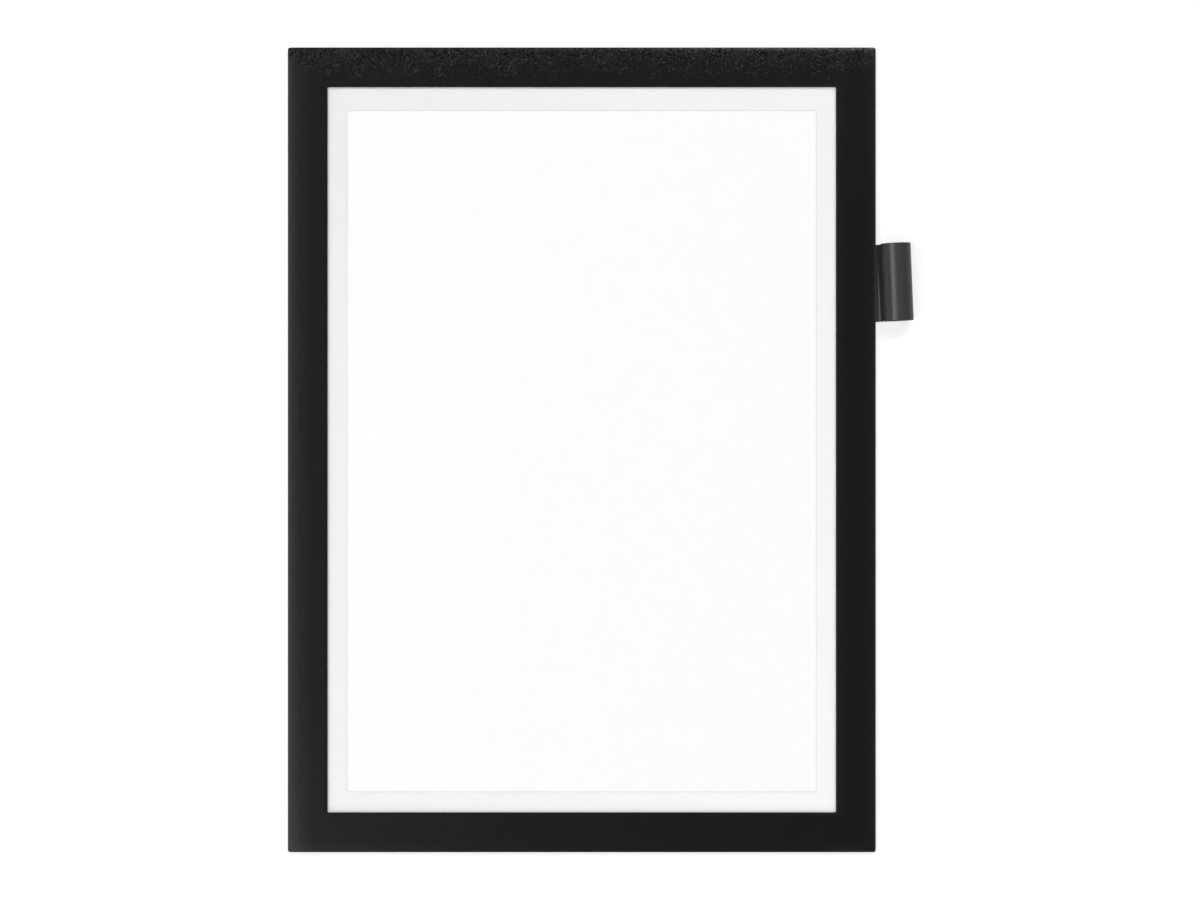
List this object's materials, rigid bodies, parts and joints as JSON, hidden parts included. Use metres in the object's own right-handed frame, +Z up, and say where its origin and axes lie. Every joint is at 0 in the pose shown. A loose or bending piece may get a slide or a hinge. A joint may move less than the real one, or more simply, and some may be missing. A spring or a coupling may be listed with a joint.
{
  "type": "magnetic display frame",
  "caption": "Flat wall frame for one A4 sheet, with a black magnetic border that swings open on its left side, a clear film with a writing cut-out, and a pen loop.",
  "frame": {"origin": "middle of the frame's adhesive back, on the wall", "axes": "+Z up, +X to the right as seen from the front, -Y out of the front, so the wall lies on the +Y side"},
  "size_m": [0.2509, 0.012, 0.323],
  "materials": {
    "black_film": "fine sand-like grain, satin black",
    "magnetic_rubber": "matte",
    "clear_film": "clear, low glare",
    "clear_panel": "clear",
    "paper": "smooth white office paper",
    "adhesive": "matte soft foam",
    "loop_plastic": "smooth, half gloss"
  },
  "bodies": {
    "back": {"back_panel": "clear_panel", "adhesive_ring": "adhesive", "rear_border": "black_film", "rear_magnet_top": "magnetic_rubber", "rear_magnet_bottom": "magnetic_rubber", "rear_magnet_left": "magnetic_rubber", "rear_magnet_right": "magnetic_rubber", "insert_sheet": "paper", "pen_loop": "loop_plastic", "pen_loop_pad": "adhesive"},
    "front": {"front_cover": "black_film", "retaining_film": "clear_film", "front_magnet_top": "magnetic_rubber", "front_magnet_bottom": "magnetic_rubber", "front_magnet_left": "magnetic_rubber", "front_magnet_right": "magnetic_rubber"}
  },
  "joints": [
    {"name": "front_hinge", "type": "hinge", "parent": "back", "child": "front", "pos_m": [-0.118, -0.0017, 0], "axis": [0, 0, -1], "range_deg": [0, 180]}
  ]
}
